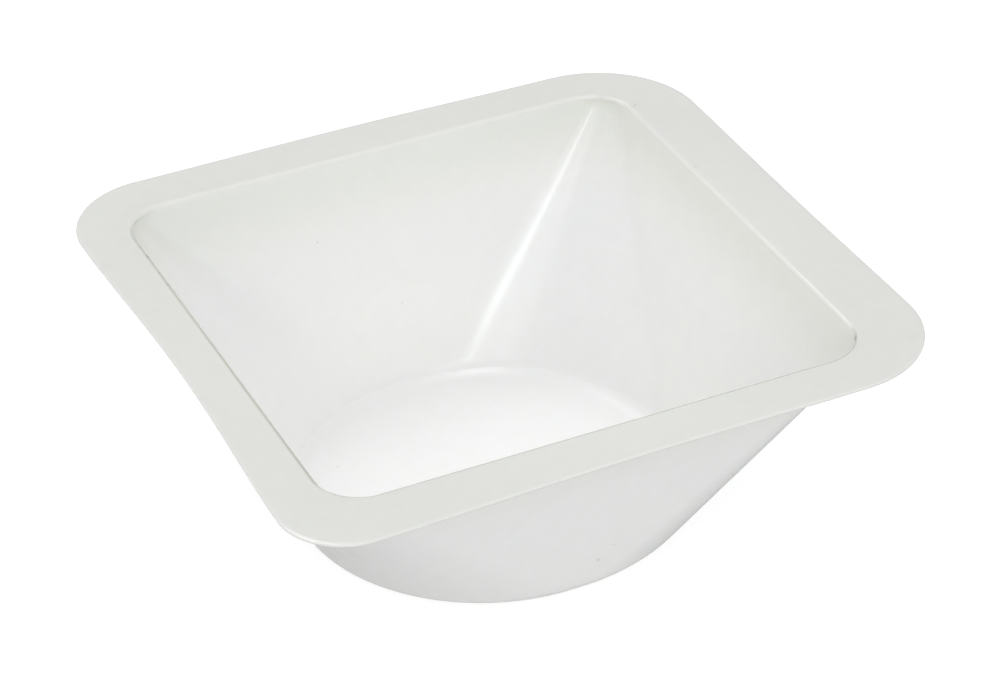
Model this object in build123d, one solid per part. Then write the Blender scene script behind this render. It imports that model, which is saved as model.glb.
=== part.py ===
"""A square weighing boat: one thin sheet of polystyrene, thermoformed into a bowl with a flat flange.

Millimetres, +Z up. The origin is on the surface that the boat stands on, under the centre of the
flange. The bowl has a rounded square mouth and a round flat base. Each of its four walls is a flat
triangle that hangs from a side of the mouth and narrows to a point at the base, and an oblique cone
fills each corner between two of them.
"""

from build123d import *
import math
import os

# Bowl
MOUTH = 70.0  # across the mouth, from flat wall to flat wall
MOUTH_CORNER = 6.0  # radius of the mouth's corners
DEPTH = 31.5  # from the underside of the base to the top of the flange
BASE_RADIUS = 26.6  # where the walls reach the base, over the outside of its fold
BASE_FOLD = 3.6  # outside radius of the fold between walls and base
MOUTH_FOLD = 0.9  # radius of the fold between flange and walls, over its upper side
SHEET = 0.35  # thickness of the formed sheet

# Flange
FLANGE = 8.0  # width of the flange beyond the mouth
FLANGE_CORNER = 12.0  # radius of the flange's trimmed corners
EDGE_BOW = 0.4  # how far the middle of each trimmed edge lies inside its ends
TRIM_SHIFT = 1.05  # the bowl lies this far towards -X from the flange's centre, as trimmed

# Forming
FOLD_TURN = 62.0  # degrees that the base fold turns up before the straight wall starts
WALL_TIP = 4.0  # degrees of the base circle that a flat wall narrows to


def quarter_turns(edges):
    """The given edges of one quarter, carried round the Z axis four times into one closed ring."""
    return Wire([Rot(0, 0, 90 * turn) * edge for turn in range(4) for edge in edges])


def mouth_ring(half, corner, height):
    """Rounded square: a straight side, then a corner arc."""
    reach = half - corner
    side = Line((half, -reach, height), (half, reach, height))
    arc = CenterArc((reach, reach, height), corner, 0, 90)
    return quarter_turns([side, arc])


def base_ring(radius, height):
    """Circle, split where the walls and corners of the mouth ring land on it."""
    tip = CenterArc((0, 0, height), radius, -WALL_TIP / 2, WALL_TIP)
    arc = CenterArc((0, 0, height), radius, WALL_TIP / 2, 90 - WALL_TIP)
    return quarter_turns([tip, arc])


def base_disc(radius, fold, floor):
    """Flat disc with its fold, turned about the Z axis, and the ring where the fold ends."""
    flat = radius - fold
    turn = math.radians(FOLD_TURN)
    edge = flat + fold * math.sin(turn)
    top = floor + fold * (1 - math.cos(turn))
    half_turn = turn / 2
    middle = (flat + fold * math.sin(half_turn), 0, floor + fold * (1 - math.cos(half_turn)))
    outline = [
        Line((0, 0, floor), (flat, 0, floor)),
        ThreePointArc((flat, 0, floor), middle, (edge, 0, top)),
        Line((edge, 0, top), (0, 0, top)),
        Line((0, 0, top), (0, 0, floor)),
    ]
    return revolve(Face(Wire(outline)), Axis.Z), edge, top


def bowl(inset):
    """Solid bowl whose surface lies inset inside the outside of the formed bowl."""
    disc, edge, top = base_disc(BASE_RADIUS - inset, BASE_FOLD - inset, inset)
    half = MOUTH / 2 + SHEET - inset
    corner = MOUTH_CORNER + SHEET - inset
    walls = Solid.make_loft([base_ring(edge, top), mouth_ring(half, corner, DEPTH)], ruled=True)
    return disc + walls


def flange_plate():
    """Flat plate with rounded corners, whose four trimmed edges bow in a little."""
    half = MOUTH / 2 + FLANGE
    reach = half - FLANGE_CORNER
    side = ThreePointArc((half, -reach), (half - EDGE_BOW, 0), (half, reach))
    arc = CenterArc((reach, reach), FLANGE_CORNER, 0, 90)
    plate = extrude(Face(quarter_turns([side, arc])), SHEET)
    return Pos(0, 0, DEPTH - SHEET) * plate


def mouth_edges(face):
    """The ring of edges round the hole in one of the flange's two flat faces."""
    return face.inner_wires()[0].edges()


def weighing_boat():
    """The formed sheet: flange and bowl in one piece, folded at the same centre above and below."""
    centre = Pos(-TRIM_SHIFT, 0, 0)
    boat = flange_plate() + centre * bowl(0)
    boat -= centre * bowl(SHEET)
    upper = boat.faces().sort_by(Axis.Z)[-1]
    boat = fillet(mouth_edges(upper), MOUTH_FOLD)
    lower = boat.faces().filter_by(Axis.Z).sort_by(Axis.Z)[-2]
    return fillet(mouth_edges(lower), MOUTH_FOLD - SHEET)


os.makedirs("parts", exist_ok=True)
export_step(weighing_boat(), "parts/weighing_boat.step")
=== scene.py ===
"""A thermoformed polystyrene weighing boat on a pale studio floor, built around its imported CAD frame."""

import math

import bpy
import numpy as np
from bpy.props import FloatProperty, FloatVectorProperty, PointerProperty
from bpy.types import Operator, Panel, PropertyGroup
from mathutils import Matrix, Vector


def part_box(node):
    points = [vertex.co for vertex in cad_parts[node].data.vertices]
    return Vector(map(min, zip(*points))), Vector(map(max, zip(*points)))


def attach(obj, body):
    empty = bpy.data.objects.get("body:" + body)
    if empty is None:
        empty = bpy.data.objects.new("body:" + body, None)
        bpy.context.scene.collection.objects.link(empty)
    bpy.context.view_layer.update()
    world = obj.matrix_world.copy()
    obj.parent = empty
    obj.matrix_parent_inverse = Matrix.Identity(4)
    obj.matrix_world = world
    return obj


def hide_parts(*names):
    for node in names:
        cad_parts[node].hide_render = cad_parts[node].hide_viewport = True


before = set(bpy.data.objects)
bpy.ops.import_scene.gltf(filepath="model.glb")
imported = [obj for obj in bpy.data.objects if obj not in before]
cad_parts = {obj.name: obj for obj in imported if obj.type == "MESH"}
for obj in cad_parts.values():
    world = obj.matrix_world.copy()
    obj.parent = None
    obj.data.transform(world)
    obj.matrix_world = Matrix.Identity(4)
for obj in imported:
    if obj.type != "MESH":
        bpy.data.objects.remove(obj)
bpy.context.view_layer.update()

bl_info = {
    "name": "Weighing boat",
    "version": (1, 0, 0),
    "blender": (4, 5, 0),
    "location": "View3D > Sidebar > Weighing boat",
    "description": "Forms a square laboratory weighing boat from one sheet, with its studio",
    "category": "Add Mesh",
}

CAD_NODE = "weighing_boat"
CAD_LOW, CAD_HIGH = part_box(CAD_NODE)
HEIGHT = CAD_HIGH.z - CAD_LOW.z
MM = 0.001
QUARTERS = 4


# ---------------------------------------------------------------- sizes and colours


def length(name, description, millimetres):
    """A length that a user can change, given here in millimetres and held in metres."""
    return FloatProperty(
        name=name, description=description, default=millimetres * MM, min=0.0,
        precision=5, unit="LENGTH", subtype="DISTANCE",
    )


def lengths(name, description, millimetres):
    """Several lengths in one property: X and Y, or one for each quarter anticlockwise from +X."""
    return FloatVectorProperty(
        name=name, description=description, default=[v * MM for v in millimetres],
        size=len(millimetres), precision=5, unit="LENGTH", subtype="NONE",
    )


def colour(name, description, rgb):
    """A colour that a user can change, as linear red, green and blue."""
    return FloatVectorProperty(
        name=name, description=description, default=rgb, size=3, min=0.0, max=1.0, subtype="COLOR",
    )


def share(name, description, value):
    """A number from 0 to 1 that a user can change."""
    return FloatProperty(
        name=name, description=description, default=value, min=0.0, max=1.0, subtype="FACTOR",
    )


def angle(name, description, degrees):
    """An angle that a user can change, given here in degrees and held in radians."""
    return FloatProperty(
        name=name, description=description, default=math.radians(degrees),
        subtype="ANGLE", unit="ROTATION",
    )


class BoatShape(PropertyGroup):
    """Sizes of the formed and trimmed sheet."""

    mouth: length("Mouth", "Across the mouth, from flat wall to flat wall", 70.0)
    mouth_corner: length("Mouth corner", "Radius of the mouth's corners", 6.0)
    mouth_fold: length("Mouth fold", "Reach of the fold between flange and walls", 0.65)
    cone_corner: length(
        "Cone corner", "Radius that the corner cones would have at the flange's height", 2.0,
    )
    shoulder: length(
        "Shoulder", "Depth of the band in which the cones widen to the mouth's corners", 2.4,
    )
    base_circle: length("Base circle", "Radius where the walls' lines meet the floor", 25.2)
    base_fold: length("Base fold", "Reach of the fold between walls and floor", 2.2)
    wall_tip: angle("Wall tip", "Part of the base circle that a flat wall narrows to", 4.0)
    sheet: length("Sheet", "Thickness of the formed sheet", 0.35)
    bowl_centre: lengths(
        "Bowl centre", "Where the bowl lies in the trimmed flange, X and Y", (-1.05, 0.4),
    )
    edges: lengths(
        "Trimmed edges", "How far each trimmed edge lies from the bowl's centre",
        (43.7, 41.85, 41.8, 42.55),
    )
    edge_slopes: FloatVectorProperty(
        name="Edge slopes", description="How much each trimmed edge turns from square",
        default=(-0.0094, 0.0104, 0.0011, -0.0196), size=QUARTERS,
    )
    edge_bows: lengths(
        "Edge bows", "How far the middle of each trimmed edge bows in", (0.2, -0.4, 0.9, 0.5),
    )
    corners: lengths("Flange corners", "Radius of each trimmed corner", (14.5, 11.4, 8.4, 13.2))


class BoatFinish(PropertyGroup):
    """Colours and gloss of the sheet and of what marks it, with painted light in its walls and base and
    painted shade along its mouth fold.
    """

    flange: colour("Flange colour", "Colour of the sheet where it isn't drawn", (0.81, 0.815, 0.768))
    # Painted light: the walls are coloured lighter than the flange, for the light that gathers in the bowl
    # and passes through the sheet.
    body: colour(
        "Wall colour", "Colour of the sheet where it is drawn into walls", (0.955, 0.955, 0.92),
    )
    # Painted light: the base is coloured lighter still, for the light that gathers on the bowl's floor.
    base: colour("Base colour", "Colour of the thicker sheet in the base", (0.99, 0.98, 0.92))
    # This colour darkens real scuffs and specks, and also paints the shade along the mouth fold.
    scuff_and_shade: colour(
        "Scuff colour", "Colour of the grime that gathers in the mouth fold and of specks",
        (0.3, 0.3, 0.26),
    )
    mottle: share("Mottle", "How much the sheet's tone varies from place to place", 0.012)
    roughness: share("Roughness", "Roughness of the formed surface", 0.18)
    base_dullness: share("Base dullness", "How much rougher the sheet is in the base", 0.15)
    grain: share("Grain", "Height of the fine grain, as a share of its full bump", 0.12)
    translucency: share("Translucency", "How much light passes into the sheet", 0.9)
    depth: length("Light depth", "How far light spreads inside the sheet", 1.0)


class BoatStudio(PropertyGroup):
    """Camera, lights and floor."""

    azimuth: angle("Azimuth", "Direction of the camera round the boat", -24.22)
    elevation: angle("Elevation", "Height of the camera above the boat", 33.72)
    roll: angle("Roll", "Turn of the camera about its line of sight", -1.68)
    distance: length("Distance", "From the camera to the aim point", 458.4)
    focal: FloatProperty(
        name="Focal length", description="Focal length of the lens on a 36 mm sensor",
        default=132.25, min=1.0, unit="CAMERA", subtype="NONE",
    )
    floor: colour("Floor", "Colour of the studio floor", (0.42, 0.425, 0.43))
    floor_glow: share("Floor glow", "Light that the lit floor gives from below", 0.22)
    floor_lift: share("Floor lift", "Light added to the floor where the camera sees it", 0.52)
    floor_size: length("Floor size", "Width of the studio floor", 6000.0)


# ---------------------------------------------------------------- the sheet's surface

SIDE_STEPS = 44
CORNER_STEPS = 44
FLOOR_ROWS = 16
BASE_FOLD_ROWS = 14
WALL_ROWS = 36
SHOULDER_ROWS = 8
MOUTH_FOLD_ROWS = 12
FLANGE_ROWS = 12
RIM_ROWS = 5
FOLD_WEIGHT = 0.85  # of a fold's middle point: near a circle's arc for a turn of about 60 degrees
BASE_TURN = math.radians(62.0)  # turn of the base fold, floor to wall
MOUTH_TURN = math.radians(72.0)  # turn of the mouth fold, wall to flange

# Each entry is a stretch of the mouth fold: its middle and half length in quarters of the ring,
# anticlockwise from the start of the +X side, its place across the fold from wall to flange, its
# half width across the fold, and its strength.
# Painted shade: a dark line in the mouth fold, where the fold curls away from the light.
LIP_SHADE = (
    (2.45, 0.62, 0.62, 0.30, 0.50),
    (3.35, 0.62, 0.62, 0.30, 0.55),
    (2.76, 0.22, 0.64, 0.32, 0.50),
    (0.25, 0.30, 0.22, 0.16, 0.12),
)
LIP_SCUFFS = (
    (2.06, 0.10, 0.62, 0.34, 0.72),
    (3.82, 0.16, 0.60, 0.42, 0.92),
    (2.78, 0.16, 0.70, 0.34, 0.74),
    (0.54, 0.08, 0.90, 0.40, 0.60),
)


def side_and_corner_steps():
    """Steps along one side, from -1 to 1, and round one corner, from 0 to 1, without their ends."""
    side = np.linspace(-1.0, 1.0, SIDE_STEPS, endpoint=False)
    corner = np.linspace(0.0, 1.0, CORNER_STEPS, endpoint=False)
    return side, corner


def quarter_axes():
    """Outward and anticlockwise unit vectors of the four sides, starting at +X."""
    turn = np.arange(QUARTERS) * math.pi / 2
    out = np.stack([np.cos(turn), np.sin(turn)], axis=-1)
    along = np.stack([-np.sin(turn), np.cos(turn)], axis=-1)
    return out, along


def cross(a, b):
    """Cross product of flat vectors: a number for each pair."""
    return a[..., 0] * b[..., 1] - a[..., 1] * b[..., 0]


def trimmed_ring(edges, slopes, bows, radii):
    """Outline of four near-straight edges and four corner arcs, anticlockwise from the +X edge.

    Edge k is the line out.p = edge + slope * along.p. Two lines meet in a corner point, and an arc of
    the corner's radius touches both. Along an edge, with t from -1 to 1 between its ends, the point
    moves in by bow * (1 - t^2)^2.
    """
    out, along = quarter_axes()
    edges, slopes, bows, radii = (np.asarray(v, float) for v in (edges, slopes, bows, radii))
    normal = out - slopes[:, None] * along
    after = np.roll(normal, -1, axis=0)
    corner = np.stack(
        [
            edges * after[:, 1] - np.roll(edges, -1) * normal[:, 1],
            np.roll(edges, -1) * normal[:, 0] - edges * after[:, 0],
        ],
        axis=-1,
    ) / cross(normal, after)[:, None]
    before = np.roll(corner, 1, axis=0)
    run = corner - before
    run /= np.linalg.norm(run, axis=1, keepdims=True)
    following = np.roll(run, -1, axis=0)
    turn = np.arctan2(cross(run, following), (run * following).sum(axis=-1))
    trim = radii * np.tan(turn / 2)
    start = before + run * np.roll(trim, 1)[:, None]
    end = corner - run * trim[:, None]
    outward = np.stack([run[:, 1], -run[:, 0]], axis=-1)
    t, s = side_and_corner_steps()
    share_along = ((t + 1) / 2)[None, :, None]
    side = start[:, None] + (end - start)[:, None] * share_along
    side -= outward[:, None] * (bows[:, None] * (1 - t**2) ** 2)[:, :, None]
    heading = np.arctan2(outward[:, 1], outward[:, 0])[:, None] + turn[:, None] * s
    centre = end - outward * radii[:, None]
    round_corner = np.stack([np.cos(heading), np.sin(heading)], axis=-1)
    arc = centre[:, None] + radii[:, None, None] * round_corner
    return np.concatenate([side, arc], axis=1).reshape(-1, 2)


def rounded_square(width, radius):
    """Outline of a plain rounded square, as a trimmed ring with no slopes and no bows."""
    none = np.zeros(QUARTERS)
    return trimmed_ring(none + width / 2, none, none, none + radius)


def base_angles(tip):
    """Angle on the base circle of each step of the ring.

    A narrow tip of the circle lies under each side, and the rest of each quarter under its corner.
    """
    t, s = side_and_corner_steps()
    quarter = np.concatenate([t * tip / 2, tip / 2 + s * (math.pi / 2 - tip)])
    return (np.arange(QUARTERS)[:, None] * math.pi / 2 + quarter).ravel()


def at_height(ring, height):
    """A flat ring as points in space."""
    return np.column_stack([ring, np.full(len(ring), height)])


def unit(v):
    """Each vector with a length of 1."""
    return v / np.linalg.norm(v, axis=-1, keepdims=True)


def per_height(v):
    """Each vector lengthened to a rise of 1."""
    return v / v[..., 2:]


def outward_of(ring):
    """Unit normal of a flat anticlockwise ring, from the chord between each point's neighbours."""
    chord = np.roll(ring, -1, axis=0) - np.roll(ring, 1, axis=0)
    return unit(np.column_stack([chord[:, 1], -chord[:, 0], np.zeros(len(ring))]))


def fold(first, middle, last, rows):
    """Rows of points on the curves from first to last that set out towards middle, without the last.

    A curve is the mean of the three points with weights (1-t)^2, 2t(1-t) times FOLD_WEIGHT, and t^2.
    """
    t = np.linspace(0.0, 1.0, rows, endpoint=False)[:, None, None]
    a, b, c = (1 - t) ** 2, 2 * t * (1 - t) * FOLD_WEIGHT, t**2
    return (a * first + b * middle + c * last) / (a + b + c)


def straight(first, last, rows, skip=0):
    """Rows of points on the straight lines from first to last, without the last."""
    t = np.linspace(0.0, 1.0, rows, endpoint=False)[skip:, None, None]
    return first + (last - first) * t


def upper_surface(shape):
    """Inside of the bowl and top of the flange, as rows of rings from the floor's centre outwards.

    Straight lines join each point of a rounded square to a point of the base circle. All of a side
    leads to one narrow tip, which makes a flat wall, and its corner arc to the rest of that quarter,
    which makes an oblique cone. The square's corners are tighter than the mouth's, and a curved band
    below the mouth leads from one to the other. Folds of set reach round off the ends, and straight
    lines cross the floor and the flange.
    """
    mouth_ring = rounded_square(shape.mouth, shape.mouth_corner)
    cone_ring = rounded_square(shape.mouth, shape.cone_corner)
    edge_ring = trimmed_ring(shape.edges, shape.edge_slopes, shape.edge_bows, shape.corners)
    heading = base_angles(shape.wall_tip)
    base_ring = shape.base_circle * np.column_stack([np.cos(heading), np.sin(heading)])
    mouth = at_height(mouth_ring, HEIGHT)
    cone = at_height(cone_ring, HEIGHT)
    base = at_height(base_ring, shape.sheet)
    centre = at_height(base_ring * 0.0, shape.sheet)
    floor_end = base - unit(base - centre) * shape.base_fold
    rise = per_height(cone - base)
    wall_start = base + rise * shape.base_fold * math.sin(BASE_TURN)
    shoulder = cone - rise * shape.shoulder
    bend = cone - rise * shape.shoulder / 2
    wall_end = mouth - per_height(mouth - bend) * shape.mouth_fold * math.sin(MOUTH_TURN)
    flange_start = mouth + outward_of(mouth_ring) * shape.mouth_fold
    flange_end = at_height(edge_ring, HEIGHT)
    rows = [
        straight(centre, floor_end, FLOOR_ROWS, skip=1),
        fold(floor_end, base, wall_start, BASE_FOLD_ROWS),
        straight(wall_start, shoulder, WALL_ROWS),
        fold(shoulder, bend, wall_end, SHOULDER_ROWS),
        fold(wall_end, mouth, flange_start, MOUTH_FOLD_ROWS),
        straight(flange_start, flange_end, FLANGE_ROWS),
        flange_end[None],
    ]
    surface = np.concatenate(rows)
    surface[..., :2] += np.array(shape.bowl_centre)
    surface[..., 2] += CAD_LOW.z
    return surface


def surface_normals(surface):
    """Unit normals of a grid of rings, from the cross product of its two directions."""
    round_ring = np.roll(surface, -1, axis=1) - np.roll(surface, 1, axis=1)
    outwards = np.gradient(surface, axis=0)
    return unit(np.cross(outwards, round_ring))


def sheet_section(shape):
    """The whole skin of the sheet as rows of rings: up the inside, round the edge, down the outside.

    The outside lies one sheet's thickness behind the inside, and half a circle joins them at the
    trimmed edge.
    """
    upper = upper_surface(shape)
    normal = surface_normals(upper)
    lower = upper - normal * shape.sheet
    edge, down = upper[-1], -normal[-1]
    out = unit(np.cross(np.roll(edge, -1, axis=0) - np.roll(edge, 1, axis=0), normal[-1]))
    turn = np.linspace(0.0, math.pi, RIM_ROWS + 2)[1:-1, None, None]
    half = shape.sheet / 2
    rim = edge + down * half * (1 - np.cos(turn)) + out * half * (np.sin(turn) - 1)
    upper[-1] -= out * half
    lower[-1] -= out * half
    return np.concatenate([upper, rim, lower[::-1]])


def closed_faces(rows, columns):
    """Quads between neighbouring rings, and a fan of triangles to a pole at each end."""
    ring = np.arange(columns)
    after = np.roll(ring, -1)
    start = (np.arange(rows - 1) * columns)[:, None]
    here, beside = start + ring, start + after
    quads = np.stack([here, here + columns, beside + columns, beside], axis=-1)
    first_pole, last_pole = rows * columns, rows * columns + 1
    last = (rows - 1) * columns
    first_fan = np.column_stack([np.full(columns, first_pole), ring, after])
    last_fan = np.column_stack([np.full(columns, last_pole), last + after, last + ring])
    return quads.reshape(-1, 4), np.concatenate([first_fan, last_fan])


def mesh_from_arrays(name, points, quads, triangles):
    """A smooth-shaded mesh from arrays of points, quads and triangles."""
    mesh = bpy.data.meshes.new(name)
    loops = np.concatenate([quads.ravel(), triangles.ravel()]).astype(np.int32)
    sizes = np.concatenate([np.full(len(quads), 4), np.full(len(triangles), 3)])
    starts = np.concatenate([[0], np.cumsum(sizes)[:-1]]).astype(np.int32)
    mesh.vertices.add(len(points))
    mesh.vertices.foreach_set("co", points.astype(np.float32).ravel())
    mesh.loops.add(len(loops))
    mesh.loops.foreach_set("vertex_index", loops)
    mesh.polygons.add(len(sizes))
    mesh.polygons.foreach_set("loop_start", starts)
    mesh.update(calc_edges=True)
    mesh.validate()
    mesh.shade_smooth()
    return mesh


def over_points(stretches, rows, columns):
    """Strength of the given stretches of the mouth fold at each point, and 0 at the two poles.

    With u and v as the distance from a stretch's middle along and across the fold, over its half
    length and half width, its strength falls as the root of 1 - u^2 times 1 - v^2.
    """
    first = FLOOR_ROWS - 1 + BASE_FOLD_ROWS + WALL_ROWS + SHOULDER_ROWS
    across = (np.arange(rows) - first) / MOUTH_FOLD_ROWS
    along = np.arange(columns) / columns * QUARTERS
    total = np.zeros((rows, columns))
    for middle, half_length, place, half_width, strength in stretches:
        apart = np.abs(along - middle)
        apart = np.minimum(apart, QUARTERS - apart)
        bump_along = np.sqrt(np.clip(1.0 - (apart / half_length) ** 2, 0.0, 1.0))
        bump_across = np.clip(1.0 - ((across - place) / half_width) ** 2, 0.0, 1.0)
        total = np.maximum(total, strength * bump_across[:, None] * bump_along[None, :])
    poles = np.zeros(2)
    return np.concatenate([total.ravel(), poles])


def set_point_values(mesh, name, values):
    """One number for each point of the mesh, which a material can read by name."""
    attribute = mesh.attributes.new(name, "FLOAT", "POINT")
    attribute.data.foreach_set("value", values.astype(np.float32))


def sheet_mesh(shape):
    """The formed sheet as one closed mesh."""
    section = sheet_section(shape)
    rows, columns = section.shape[:2]
    poles = section[[0, -1]].mean(axis=1)
    points = np.concatenate([section.reshape(-1, 3), poles])
    quads, triangles = closed_faces(rows, columns)
    mesh = mesh_from_arrays("formed_sheet", points, quads[:, ::-1], triangles[:, ::-1])
    # Depth below the flange as a share of the height: the material paints the walls and base lighter by it
    # as painted light, and makes the base rougher by it.
    drawn = np.clip((CAD_HIGH.z - points[:, 2]) / HEIGHT, 0.0, 1.0)
    set_point_values(mesh, "drawn", drawn)
    # Painted shade: a dark line along the mouth fold where it curls away from the light.
    set_point_values(mesh, "lip_shade", over_points(LIP_SHADE, rows, columns))
    set_point_values(mesh, "scuffed", over_points(LIP_SCUFFS, rows, columns))
    return mesh


# ---------------------------------------------------------------- materials

# Bands of depth below the flange, as shares of the boat's height, in which the sheet's colour is painted
# lighter, as painted light for the light that gathers in the bowl; the base band also makes the sheet
# rougher
WALL_LIGHT_BAND = (0.01, 0.42)
BASE_BAND = (0.93, 0.985)

# Scales of noise are the number of its cells in a metre.
MOTTLE_SCALE = 420.0
GLOSS_SCALE = 260.0
GLOSS_CHANGE = 0.12  # how much the roughness varies either way
GRAIN_SCALE = 1100.0
GRAIN_HEIGHT = 0.02 * MM
SCUFF_SCALE = 1900.0
SCUFF_LEVEL = 0.78  # noise above this shows as a scuff where the sheet isn't worn
SCUFF_WEAR = 0.42  # how far full wear lowers that level
SCUFF_EDGE = 9.0  # how fast a scuff darkens above the level
NOISE_SPREAD = 4.0  # turns noise within a quarter of its middle, 0.5, into numbers from -1 to 1

LIGHT_SPREAD = (1.0, 0.95, 0.85)  # of red, green and blue light, as shares of the finish's depth
PLASTIC_IOR = 1.5
FLOOR_ROUGHNESS = 0.9
FLOOR_SPECULAR = 0.1
WHITE = (1.0, 1.0, 1.0)

# Single specks in the sheet: place in millimetres, radius in millimetres, and strength
SPECKS = (
    ((0.9, -26.9, 5.9), 0.40, 0.45),
    ((2.7, -27.6, 8.1), 0.28, 0.30),
    ((-17.1, 12.8, 0.35), 0.32, 0.22),
    ((-10.5, 32.4, 21.8), 0.22, 0.35),
    ((-0.3, 29.0, 11.3), 0.22, 0.30),
    ((34.8, 12.4, 31.5), 0.45, 0.14),
)


def opaque(rgb):
    """A colour with an alpha of 1."""
    return (*rgb, 1.0)


def fill(tree, socket, given):
    """Give a socket a value, or a link where what is given is itself a socket."""
    if isinstance(given, bpy.types.NodeSocket):
        tree.links.new(given, socket)
    else:
        socket.default_value = given


def fill_named(tree, node, **given):
    """Fill a node's input sockets by name, with underscores for the spaces in a name."""
    for name, value in given.items():
        fill(tree, node.inputs[name.replace("_", " ")], value)


def add_node(tree, kind, x, y, **given):
    """A new node at a place in the tree, with its input sockets filled by name."""
    node = tree.nodes.new(kind)
    node.location = (x, y)
    fill_named(tree, node, **given)
    return node


def add_math(tree, operation, x, y, *given, kind="ShaderNodeMath", clamp=False):
    """A Math or Vector Math node with its input sockets filled in order."""
    node = add_node(tree, kind, x, y)
    node.operation = operation
    if clamp:
        node.use_clamp = True
    for socket, value in zip(node.inputs, given):
        fill(tree, socket, value)
    return node


def add_number(tree, operation, x, y, *given, clamp=False):
    """The result of a Math node whose input sockets are filled in order."""
    return add_math(tree, operation, x, y, *given, clamp=clamp).outputs[0]


def socket_of(sockets, identifier):
    """The socket with that identifier: a Mix node has one A, B and Result for each kind of data."""
    return next(socket for socket in sockets if socket.identifier == identifier)


def add_colour_mix(tree, x, y, first, second, factor):
    """The mix of two colours, each of them a value or a link."""
    node = add_node(tree, "ShaderNodeMix", x, y)
    node.data_type = "RGBA"
    fill(tree, socket_of(node.inputs, "A_Color"), first)
    fill(tree, socket_of(node.inputs, "B_Color"), second)
    fill(tree, node.inputs["Factor"], factor)
    return socket_of(node.outputs, "Result_Color")


def add_step(tree, x, y, value, low, high):
    """A smooth step of a value, from 0 at low to 1 at high."""
    node = add_node(tree, "ShaderNodeMapRange", x, y, Value=value, From_Min=low, From_Max=high)
    node.interpolation_type = "SMOOTHSTEP"
    return node.outputs["Result"]


def add_attribute(tree, x, y, name):
    """The number that each point of the mesh holds under that name."""
    node = add_node(tree, "ShaderNodeAttribute", x, y)
    node.attribute_name = name
    return node.outputs["Fac"]


def add_group(tree, group, x, y, **given):
    """The result of a node group, with its input sockets filled by name."""
    node = add_node(tree, "ShaderNodeGroup", x, y)
    node.node_tree = group
    fill_named(tree, node, **given)
    return node.outputs[0]


def new_group(name, output, **inputs):
    """A node group with one number as its output: the group, its given sockets and its result."""
    group = bpy.data.node_groups.new(name, "ShaderNodeTree")
    for label, kind in inputs.items():
        group.interface.new_socket(label, in_out="INPUT", socket_type=kind)
    group.interface.new_socket(output, in_out="OUTPUT", socket_type="NodeSocketFloat")
    given = add_node(group, "NodeGroupInput", -900, 0).outputs
    result = add_node(group, "NodeGroupOutput", 600, 0).inputs[output]
    return group, given, result


def mottle_group():
    """Slow noise as a number round 1 that varies by Amount either way."""
    group, given, result = new_group(
        "sheet_mottle", "Value",
        Vector="NodeSocketVector", Scale="NodeSocketFloat", Amount="NodeSocketFloat",
    )
    noise = add_node(
        group, "ShaderNodeTexNoise", -650, 0,
        Vector=given["Vector"], Scale=given["Scale"], Detail=3.0, Roughness=0.6,
    )
    centred = add_number(
        group, "MULTIPLY_ADD", -400, 0, noise.outputs["Fac"], NOISE_SPREAD, -NOISE_SPREAD / 2,
    )
    held = add_number(group, "MINIMUM", -250, 0, centred, 1.0)
    fill(group, result, add_number(group, "MULTIPLY_ADD", 0, 0, held, given["Amount"], 1.0))
    return group


def scuffs_group():
    """Broken specks: fine noise that shows where it rises above a level, which Where lowers."""
    group, given, result = new_group(
        "sheet_scuffs", "Mask", Vector="NodeSocketVector", Where="NodeSocketFloat",
    )
    noise = add_node(
        group, "ShaderNodeTexNoise", -650, 0,
        Vector=given["Vector"], Scale=SCUFF_SCALE, Detail=4.0, Roughness=0.7,
    )
    level = add_number(group, "MULTIPLY_ADD", -400, -100, given["Where"], SCUFF_WEAR, -SCUFF_LEVEL)
    above = add_number(group, "ADD", -200, 0, noise.outputs["Fac"], level)
    fill(group, result, add_number(group, "MULTIPLY", 0, 0, above, SCUFF_EDGE, clamp=True))
    return group


def speck_group():
    """A soft round spot: 1 at Centre, 0 beyond Radius."""
    group, given, result = new_group(
        "sheet_speck", "Mask",
        Vector="NodeSocketVector", Centre="NodeSocketVector", Radius="NodeSocketFloat",
    )
    apart = add_math(
        group, "DISTANCE", -600, 0, given["Vector"], given["Centre"], kind="ShaderNodeVectorMath",
    )
    ratio = add_number(group, "DIVIDE", -400, 0, apart.outputs["Value"], given["Radius"])
    fill(group, result, add_number(group, "SUBTRACT", -200, 0, 1.0, ratio, clamp=True))
    return group


def add_sheet_colour_and_painted_light(tree, place, drawn, base_light_and_dullness, mottle, finish):
    """Colour of the unmarked sheet: one tone in the flange, and lighter tones in the walls and the base
    that are painted light for the light that gathers in the bowl.
    """
    painted_light_in_walls = add_step(tree, -1700, 500, drawn, *WALL_LIGHT_BAND)
    sheet = add_colour_mix(tree, -1400, 400, opaque(finish.flange), opaque(finish.body), painted_light_in_walls)
    sheet = add_colour_mix(tree, -1200, 400, sheet, opaque(finish.base), base_light_and_dullness)
    tone = add_group(tree, mottle, -1400, 100, Vector=place, Scale=MOTTLE_SCALE, Amount=finish.mottle)
    varied = add_math(tree, "SCALE", -1000, 300, sheet, kind="ShaderNodeVectorMath")
    fill_named(tree, varied, Scale=tone)
    return varied.outputs[0]


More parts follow.
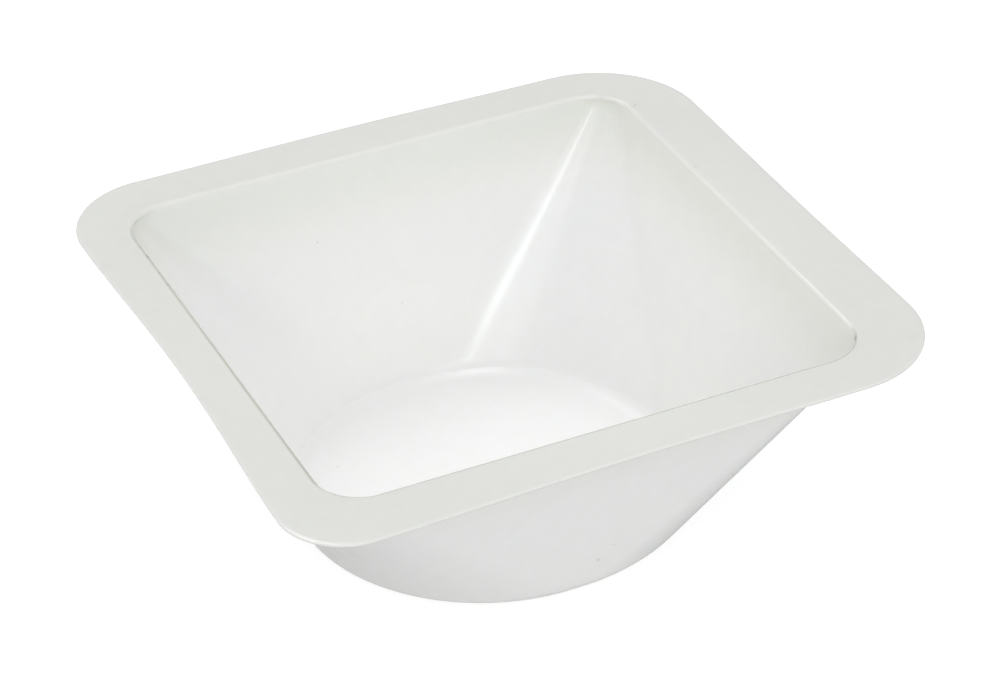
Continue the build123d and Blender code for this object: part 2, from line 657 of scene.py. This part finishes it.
def add_marks_and_painted_shade(tree, place):
    """How dark the sheet is marked: the strongest of scuffs, the painted shade along the mouth fold, and
    single specks.
    """
    worn = add_attribute(tree, -1900, -150, "scuffed")
    # Painted shade along the mouth fold.
    lip_shade = add_attribute(tree, -1900, -350, "lip_shade")
    scuffs = add_group(tree, scuffs_group(), -1400, -150, Vector=place, Where=worn)
    dark = add_number(tree, "MAXIMUM", -1100, -150, scuffs, lip_shade)
    speck = speck_group()
    for row, (centre, radius, strength) in enumerate(SPECKS):
        y = -550 - 200 * row
        middle = [v * MM for v in centre]
        spot = add_group(tree, speck, -1400, y, Vector=place, Centre=middle, Radius=radius * MM)
        faint = add_number(tree, "MULTIPLY", -1200, y, spot, strength)
        dark = add_number(tree, "MAXIMUM", -1000, y, faint, dark)
    return dark


def add_roughness(tree, place, base_light_and_dullness, mottle, finish):
    """Roughness of the sheet, higher in the base and varied a little from place to place."""
    varied = add_group(tree, mottle, -1000, -700, Vector=place, Scale=GLOSS_SCALE, Amount=GLOSS_CHANGE)
    dulled = add_number(
        tree, "MULTIPLY_ADD", -900, -450, base_light_and_dullness, finish.base_dullness, finish.roughness,
    )
    return add_number(tree, "MULTIPLY", -700, -300, dulled, varied)


def add_grain(tree, place, strength):
    """Normal of the surface with its fine grain."""
    grain = add_node(
        tree, "ShaderNodeTexNoise", -900, -1000, Vector=place, Scale=GRAIN_SCALE, Detail=2.0,
    )
    bump = add_node(
        tree, "ShaderNodeBump", -500, -900,
        Height=grain.outputs["Fac"], Strength=strength, Distance=GRAIN_HEIGHT,
    )
    return bump.outputs["Normal"]


def new_material(name):
    """A new material, its node tree and its shader."""
    material = bpy.data.materials.new(name)
    material.use_nodes = True
    tree = material.node_tree
    return material, tree, tree.nodes["Principled BSDF"]


def polystyrene(finish):
    """White polystyrene sheet: satin, faintly mottled, and a little light passes through it."""
    material, tree, shader = new_material("white_polystyrene")
    place = add_node(tree, "ShaderNodeTexCoord", -2200, 0).outputs["Object"]
    drawn = add_attribute(tree, -1900, 400, "drawn")
    # The base band paints the base lighter, as painted light, and makes it rougher.
    base_light_and_dullness = add_step(tree, -1700, 250, drawn, *BASE_BAND)
    mottle = mottle_group()
    clean = add_sheet_colour_and_painted_light(tree, place, drawn, base_light_and_dullness, mottle, finish)
    # The scuff colour darkens real scuffs and specks, and paints shade along the mouth fold.
    marked = add_colour_mix(tree, -500, 200, clean, opaque(finish.scuff_and_shade), add_marks_and_painted_shade(tree, place))
    fill_named(
        tree, shader,
        Base_Color=marked,
        Roughness=add_roughness(tree, place, base_light_and_dullness, mottle, finish),
        Normal=add_grain(tree, place, finish.grain),
        Subsurface_Weight=finish.translucency,
        Subsurface_Radius=LIGHT_SPREAD,
        Subsurface_Scale=finish.depth,
        IOR=PLASTIC_IOR,
    )
    return material


def studio_floor_material(studio):
    """Plain matt floor that glows a little, and more where the camera sees it."""
    material, tree, shader = new_material("studio_floor")
    seen = add_node(tree, "ShaderNodeLightPath", -600, -200).outputs["Is Camera Ray"]
    glow = add_number(tree, "MULTIPLY_ADD", -300, -200, seen, studio.floor_lift, studio.floor_glow)
    fill_named(
        tree, shader,
        Base_Color=opaque(studio.floor),
        Roughness=FLOOR_ROUGHNESS,
        Specular_IOR_Level=FLOOR_SPECULAR,
        Emission_Color=opaque(WHITE),
        Emission_Strength=glow,
    )
    return material


# ---------------------------------------------------------------- stage

FLOOR_GAP = 0.1 * MM  # the floor lies this far below the boat
WORLD_COLOUR = (0.99, 0.995, 1.0)
WORLD_STRENGTH = 0.48
SENSOR_WIDTH = 36.0  # millimetres, as Blender counts it
NEAREST_SEEN = 0.01  # metres
AIM_POINT = (0.00015, -0.0013, 0.0235)  # metres

# name, azimuth, elevation and roll in degrees, distance, width and height in metres, radiance, tint,
# and what it gives: diffuse light, a reflection, or both
LIGHTS = (
    ("overhead", 160, 75, 0, 1.20, 1.40, 1.40, 0.62, WHITE, "both"),
    ("front", -10, 30, 0, 1.20, 1.00, 1.00, 1.20, WHITE, "both"),
    ("strip", -6.5, 25.5, 100, 0.90, 0.22, 0.075, 7.5, (0.93, 0.99, 1.0), "both"),
    ("cool", 24, 2, 0, 1.10, 0.44, 0.36, 1.5, (0.5, 0.8, 1.0), "reflection"),
    ("right", 92, 12, 0, 1.10, 0.70, 0.50, 0.7, (0.9, 0.95, 1.0), "reflection"),
    ("back", 176, 53, 0, 0.90, 0.24, 0.24, 4.2, WHITE, "both"),
    ("left", -95, 25, 0, 1.20, 0.80, 0.80, 0.70, WHITE, "diffuse"),
    ("low", -55, 2, 0, 1.20, 0.60, 0.40, 1.4, WHITE, "diffuse"),
)

# A narrow spot that looks down into the bowl
FILL_AZIMUTH = 20  # degrees
FILL_ELEVATION = 84  # degrees
FILL_DISTANCE = 0.9  # metres
FILL_CONE = 5.0  # degrees
FILL_POWER = 7.0  # watts
FILL_RADIUS = 0.015  # metres


def new_object(name, data):
    """A new object in the scene, at the origin and untransformed."""
    obj = bpy.data.objects.new(name, data)
    bpy.context.scene.collection.objects.link(obj)
    return obj


def direction(azimuth, elevation):
    """Unit vector from the boat towards something at that azimuth and elevation."""
    return Vector((
        math.sin(azimuth) * math.cos(elevation),
        -math.cos(azimuth) * math.cos(elevation),
        math.sin(elevation),
    ))


def place_facing(obj, target, towards, distance, roll=0.0):
    """Put an object that far from its target, facing it, and turned about its line of sight."""
    facing = (-towards).to_track_quat("-Z", "Y").to_matrix().to_4x4()
    turned = facing @ Matrix.Rotation(roll, 4, "Z")
    obj.matrix_world = Matrix.Translation(target + towards * distance) @ turned


def add_light(target, name, azimuth, elevation, roll, distance, width, height, radiance, tint, gives):
    """A rectangular soft light that faces its target and looks as bright as its radiance from there."""
    data = bpy.data.lights.new(name, "AREA")
    data.shape = "RECTANGLE"
    data.size = width
    data.size_y = height
    data.energy = radiance * math.pi * width * height
    data.color = tint
    light = new_object(name, data)
    towards = direction(math.radians(azimuth), math.radians(elevation))
    place_facing(light, target, towards, distance, math.radians(roll))
    light.visible_diffuse = gives != "reflection"
    light.visible_glossy = gives != "diffuse"


def add_bowl_fill(target):
    """A narrow soft spot that falls into the bowl and stays off the flange."""
    data = bpy.data.lights.new("bowl_fill", "SPOT")
    data.energy = FILL_POWER
    data.spot_size = math.radians(FILL_CONE)
    data.spot_blend = 1.0
    data.shadow_soft_size = FILL_RADIUS
    towards = direction(math.radians(FILL_AZIMUTH), math.radians(FILL_ELEVATION))
    place_facing(new_object("bowl_fill", data), target, towards, FILL_DISTANCE)


def add_camera(studio):
    """Camera that looks at the aim point from its azimuth and elevation."""
    data = bpy.data.cameras.new("camera")
    data.sensor_width = SENSOR_WIDTH
    data.lens = studio.focal
    data.clip_start = NEAREST_SEEN
    camera = new_object("camera", data)
    towards = direction(studio.azimuth, studio.elevation)
    place_facing(camera, Vector(AIM_POINT), towards, studio.distance, studio.roll)
    bpy.context.scene.camera = camera


def add_floor(studio):
    """Square floor just below the boat."""
    half = studio.floor_size / 2
    level = CAD_LOW.z - FLOOR_GAP
    corners = [(-half, -half, level), (half, -half, level), (half, half, level), (-half, half, level)]
    mesh = bpy.data.meshes.new("studio_floor")
    mesh.from_pydata(corners, [], [(0, 1, 2, 3)])
    floor = new_object("studio_floor", mesh)
    floor.data.materials.append(studio_floor_material(studio))


def add_world():
    """Even pale light from all round."""
    world = bpy.data.worlds.new("studio")
    world.use_nodes = True
    background = world.node_tree.nodes["Background"]
    fill_named(
        world.node_tree, background, Color=opaque(WORLD_COLOUR), Strength=WORLD_STRENGTH,
    )
    bpy.context.scene.world = world


# ---------------------------------------------------------------- operators and panel


class BOAT_OT_form_sheet(Operator):
    """Form the boat's sheet, give it its finish and put it in the place of the CAD node"""

    bl_idname = "boat.form_sheet"
    bl_label = "Form the sheet"

    def execute(self, context):
        shape, finish = context.scene.boat_shape, context.scene.boat_finish
        piece = new_object("formed_sheet", sheet_mesh(shape))
        piece.data.materials.append(polystyrene(finish))
        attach(piece, "root")
        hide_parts(CAD_NODE)
        return {"FINISHED"}


class BOAT_OT_set_stage(Operator):
    """Set up the floor, the soft lights and the camera"""

    bl_idname = "boat.set_stage"
    bl_label = "Set the stage"

    def execute(self, context):
        studio = context.scene.boat_studio
        add_floor(studio)
        add_world()
        target = Vector((0.0, 0.0, CAD_HIGH.z / 2))
        for light in LIGHTS:
            add_light(target, *light)
        add_bowl_fill(target)
        add_camera(studio)
        context.scene.view_settings.view_transform = "Standard"
        return {"FINISHED"}


class BOAT_PT_panel(Panel):
    """Sizes, colours and steps of the weighing boat"""

    bl_idname = "BOAT_PT_panel"
    bl_label = "Weighing boat"
    bl_space_type = "VIEW_3D"
    bl_region_type = "UI"
    bl_category = "Weighing boat"

    def draw(self, context):
        for group_name in GROUPS:
            group = getattr(context.scene, group_name)
            box = self.layout.box()
            for name in group.bl_rna.properties.keys():
                if name not in ("rna_type", "name"):
                    box.prop(group, name)
        for operator in OPERATORS:
            self.layout.operator(operator.bl_idname)


GROUPS = {"boat_shape": BoatShape, "boat_finish": BoatFinish, "boat_studio": BoatStudio}
OPERATORS = (BOAT_OT_form_sheet, BOAT_OT_set_stage)
CLASSES = (*GROUPS.values(), *OPERATORS, BOAT_PT_panel)


def register():
    """Register the classes and give every scene its sizes, finish and studio."""
    for cls in CLASSES:
        bpy.utils.register_class(cls)
    for name, group in GROUPS.items():
        setattr(bpy.types.Scene, name, PointerProperty(type=group))


def unregister():
    """Take away what register() added."""
    for name in GROUPS:
        delattr(bpy.types.Scene, name)
    for cls in reversed(CLASSES):
        bpy.utils.unregister_class(cls)


def main():
    """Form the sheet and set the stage."""
    register()
    bpy.ops.boat.form_sheet()
    bpy.ops.boat.set_stage()


if __name__ == "__main__":
    main()
